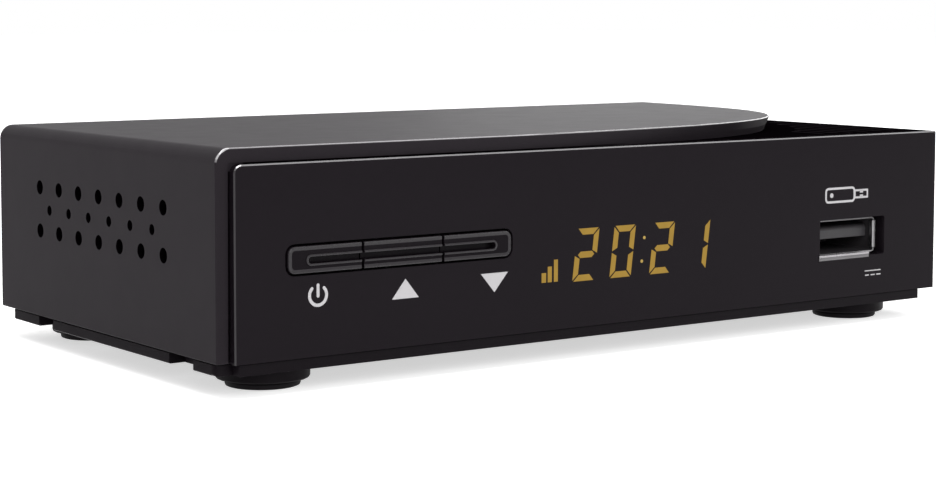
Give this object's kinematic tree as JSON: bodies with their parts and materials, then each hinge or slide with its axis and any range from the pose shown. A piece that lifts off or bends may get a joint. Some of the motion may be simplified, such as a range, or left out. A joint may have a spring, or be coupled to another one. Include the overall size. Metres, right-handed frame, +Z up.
{
  "type": "cable tv receiver",
  "caption": "Small black set-top box with a swept raised deck, vented sides, glossy front with keys, clock display and USB socket, and aerial, video and power sockets behind.",
  "frame": {"origin": "on the floor under the middle of the box that holds the whole object", "axes": "+X to the right seen from the front, +Y to the back, +Z up"},
  "size_m": [0.13, 0.0736, 0.0315],
  "materials": {
    "satin_black": "satin",
    "gloss_black": "gloss",
    "key_black": "satin",
    "rubber": "matt",
    "steel": "bright zinc",
    "tinplate": "bright, folded sheet",
    "nickel": "nickel plated",
    "aluminium": "extruded",
    "board_green": "solder mask",
    "moulded_black": "matt moulding",
    "chip_black": "matt epoxy",
    "amber": "satin"
  },
  "bodies": {
    "case": {"upper_housing": "satin_black", "base_tray": "satin_black", "rear_panel": "satin_black", "front_panel": "gloss_black", "foot_front_left": "rubber", "housing_screw_front_left": "steel", "board_screw_front_left": "steel", "foot_front_right": "rubber", "housing_screw_front_right": "steel", "board_screw_front_right": "steel", "foot_rear_left": "rubber", "housing_screw_rear_left": "steel", "board_screw_rear_left": "steel", "foot_rear_right": "rubber", "housing_screw_rear_right": "steel", "board_screw_rear_right": "steel", "switch_power": "steel", "switch_up": "steel", "switch_down": "steel", "front_board": "board_green", "main_board": "board_green", "display_module": "moulded_black", "ir_receiver": "moulded_black", "usb_shell": "tinplate", "usb_tongue": "moulded_black", "board_link": "moulded_black", "decoder_chip": "chip_black", "heat_sink": "aluminium", "memory_chip": "chip_black", "flash_chip": "chip_black", "crystal": "steel", "power_coil": "moulded_black", "capacitor_inlet": "moulded_black", "capacitor_output": "moulded_black", "capacitor_tuner": "moulded_black", "capacitor_usb": "moulded_black", "tuner_can": "tinplate", "aerial_in_socket": "nickel", "aerial_out_socket": "nickel", "hdmi_shell": "tinplate", "hdmi_tongue": "moulded_black", "scart_socket": "moulded_black", "scart_shield": "tinplate", "audio_socket": "amber", "audio_ring": "nickel", "dc_inlet": "moulded_black", "dc_pin": "nickel"},
    "power_key": {"key_power": "key_black", "plunger_power": "moulded_black"},
    "up_key": {"key_up": "key_black", "plunger_up": "moulded_black"},
    "down_key": {"key_down": "key_black", "plunger_down": "moulded_black"}
  },
  "joints": [
    {"name": "power_press", "type": "slide", "parent": "case", "child": "power_key", "axis": [0, 1, 0], "range_m": [0, 0.0005], "stiffness_N_per_m": 1500},
    {"name": "up_press", "type": "slide", "parent": "case", "child": "up_key", "axis": [0, 1, 0], "range_m": [0, 0.0005], "stiffness_N_per_m": 1500},
    {"name": "down_press", "type": "slide", "parent": "case", "child": "down_key", "axis": [0, 1, 0], "range_m": [0, 0.0005], "stiffness_N_per_m": 1500}
  ]
}
